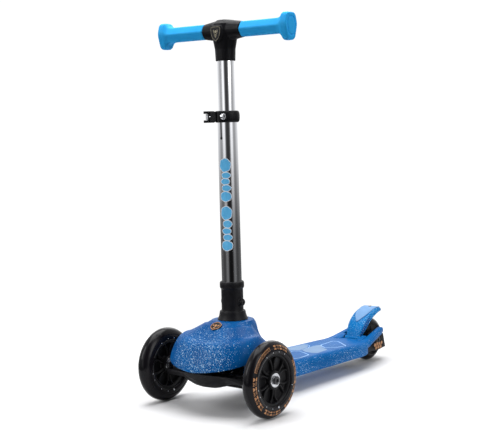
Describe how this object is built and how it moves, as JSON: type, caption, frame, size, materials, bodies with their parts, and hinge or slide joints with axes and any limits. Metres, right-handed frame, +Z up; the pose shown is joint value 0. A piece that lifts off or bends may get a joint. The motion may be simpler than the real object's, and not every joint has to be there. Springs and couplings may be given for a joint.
{
  "type": "kick scooter",
  "caption": "Child's three-wheel kick scooter with lean steering, a glitter deck, a rear mudguard brake and a removable height-adjustable chrome bar.",
  "frame": {"origin": "on the ground, under the centre of the scooter's outline in plan", "axes": "+Z up, front of the scooter towards -Y, the rider's left towards +X"},
  "size_m": [0.264, 0.5394, 0.6187],
  "materials": {
    "blue_glitter": "moulded with fine glitter",
    "brake_blue": "moulded with fine glitter",
    "light_blue": "matt",
    "grip_blue": "matt",
    "black_plastic": "fine texture",
    "wheel_black": "satin",
    "tyre_black": "cast, glossy",
    "chrome": "polished",
    "steel": "zinc plated",
    "black_steel": "satin",
    "bronze": "sintered",
    "copper_print": "printed"
  },
  "bodies": {
    "chassis": {"deck_board": "blue_glitter", "nose_cover": "blue_glitter", "nose_badge": "copper_print", "steering_housing": "black_plastic", "column_socket": "black_plastic", "lean_pin": "steel", "lean_nut": "steel", "lean_spring_left": "steel", "lean_spring_right": "steel", "drive_pin": "steel", "deck_screw_left": "steel", "deck_screw_right": "steel", "rear_bracket": "black_plastic", "rear_axle": "steel", "rear_axle_nut": "steel", "rear_spacer_left": "steel", "rear_spacer_right": "steel", "brake_pin": "steel", "brake_spring": "steel", "button_spring": "steel"},
    "front_beam": {"axle_beam": "black_plastic", "lower_cowl": "black_plastic", "kingpin_left": "steel", "kingpin_right": "steel", "lean_bush": "bronze"},
    "left_knuckle": {"knuckle_left": "black_plastic", "axle_bolt_left": "steel"},
    "right_knuckle": {"knuckle_right": "black_plastic", "axle_bolt_right": "steel"},
    "steering_link": {"tie_rod": "black_steel"},
    "front_wheel_left": {"front_tyre_left": "tyre_black", "front_rim_left": "wheel_black", "front_bearing_inner_left": "steel", "front_bearing_outer_left": "steel"},
    "front_wheel_right": {"front_tyre_right": "tyre_black", "front_rim_right": "wheel_black", "front_bearing_inner_right": "steel", "front_bearing_outer_right": "steel"},
    "rear_wheel": {"rear_tyre": "tyre_black", "rear_rim": "wheel_black", "rear_bearing_left": "steel", "rear_bearing_right": "steel"},
    "brake": {"brake_pedal": "brake_blue", "brake_tread": "light_blue"},
    "button": {"release_button": "black_plastic"},
    "column": {"lower_tube": "chrome", "column_foot_plug": "black_plastic", "clamp_band": "black_plastic", "clamp_bolt": "steel", "cam_barrel": "steel"},
    "lever": {"clamp_lever": "black_plastic"},
    "handlebar": {"upper_tube": "chrome", "tube_guide_plug": "black_plastic", "bar_joint": "black_plastic", "bar_core": "steel", "grip_left": "grip_blue", "grip_right": "grip_blue", "bar_badge": "steel"}
  },
  "joints": [
    {"name": "lean", "type": "hinge", "parent": "chassis", "child": "front_beam", "pos_m": [0, -0.2097, 0.047], "axis": [0, 1, 0], "range_deg": [-8, 8], "stiffness_Nm_per_rad": 60, "deforming": ["lean_spring_left", "lean_spring_right"]},
    {"name": "steer_left", "type": "hinge", "parent": "front_beam", "child": "left_knuckle", "pos_m": [0.072, -0.2097, 0.0595], "axis": [0, 0, 1], "range_deg": [-7.2, 7.2]},
    {"name": "steer_right", "type": "hinge", "parent": "front_beam", "child": "right_knuckle", "pos_m": [-0.072, -0.2097, 0.0595], "axis": [0, 0, 1], "range_deg": [-7.2, 7.2]},
    {"name": "link_pivot", "type": "hinge", "parent": "left_knuckle", "child": "steering_link", "pos_m": [0.072, -0.2257, 0.061], "axis": [0, 0, 1], "range_deg": [-7.2, 7.2]},
    {"name": "front_left_spin", "type": "hinge", "parent": "left_knuckle", "child": "front_wheel_left", "pos_m": [0.1086, -0.2097, 0.06], "axis": [1, 0, 0], "continuous": true},
    {"name": "front_right_spin", "type": "hinge", "parent": "right_knuckle", "child": "front_wheel_right", "pos_m": [-0.1086, -0.2097, 0.06], "axis": [1, 0, 0], "continuous": true},
    {"name": "rear_spin", "type": "hinge", "parent": "chassis", "child": "rear_wheel", "pos_m": [0, 0.2297, 0.04], "axis": [1, 0, 0], "continuous": true},
    {"name": "brake", "type": "hinge", "parent": "chassis", "child": "brake", "pos_m": [0, 0.1833, 0.048], "axis": [1, 0, 0], "range_deg": [-11, 0], "stiffness_Nm_per_rad": 0.5, "springref_deg": 14.32, "deforming": ["brake_spring"]},
    {"name": "column_lift", "type": "slide", "parent": "chassis", "child": "column", "axis": [0, 0, 1], "range_m": [0, 0.085]},
    {"name": "bar_height", "type": "slide", "parent": "column", "child": "handlebar", "axis": [0, 0, 1], "range_m": [-0.075, 0.1]},
    {"name": "clamp_lever", "type": "hinge", "parent": "column", "child": "lever", "pos_m": [-0.021, -0.1855, 0.46335], "axis": [0, 0, 1], "range_deg": [0, 120]},
    {"name": "button_press", "type": "slide", "parent": "chassis", "child": "button", "axis": [-1, 0, 0], "range_m": [0, 0.0014], "stiffness_N_per_m": 900, "springref_m": -0.0006, "deforming": ["button_spring"]}
  ],
  "couplings": [
    {"joint": "steer_left", "follows": "lean", "ratio": -0.875},
    {"joint": "steer_right", "follows": "lean", "ratio": -0.875},
    {"joint": "link_pivot", "follows": "lean", "ratio": 0.875}
  ]
}
